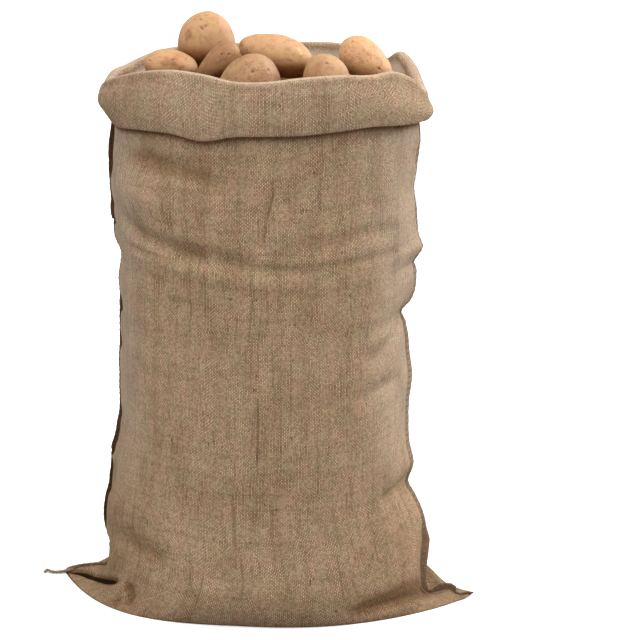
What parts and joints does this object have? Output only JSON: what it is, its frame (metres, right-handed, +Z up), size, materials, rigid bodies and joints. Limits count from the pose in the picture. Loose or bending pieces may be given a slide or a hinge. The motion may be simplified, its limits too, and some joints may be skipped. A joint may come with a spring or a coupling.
{
  "type": "hessian sack of potatoes",
  "caption": "Full hessian potato sack that stands on its folded bottom, with its mouth rolled down into a cuff, potatoes heaped in the opening and flat ears at both bottom corners.",
  "frame": {"origin": "on the floor under the middle of the filled body, in the plane of both side seams", "axes": "+Z up, from the folded bottom to the mouth; -Y faces the front panel; +X runs towards the right side seam, as seen from the front"},
  "size_m": [0.612, 0.348, 0.8046],
  "materials": {
    "hessian": "coarse plain weave, matt",
    "potato": "smooth dry skin, slightly satin",
    "heap": "dry dusty skin, matt"
  },
  "bodies": {
    "root": {"sack_cloth": "hessian", "potato_heap": "heap", "potato_top": "potato", "potato_left": "potato", "potato_slanted": "potato", "potato_front": "potato", "potato_long": "potato", "potato_small": "potato", "potato_pear": "potato", "potato_back_left": "potato", "potato_back": "potato", "potato_back_middle": "potato", "potato_back_right": "potato", "potato_right": "potato", "potato_middle": "potato", "potato_middle_right": "potato", "potato_low_left": "potato", "potato_low_right": "potato"}
  },
  "joints": []
}
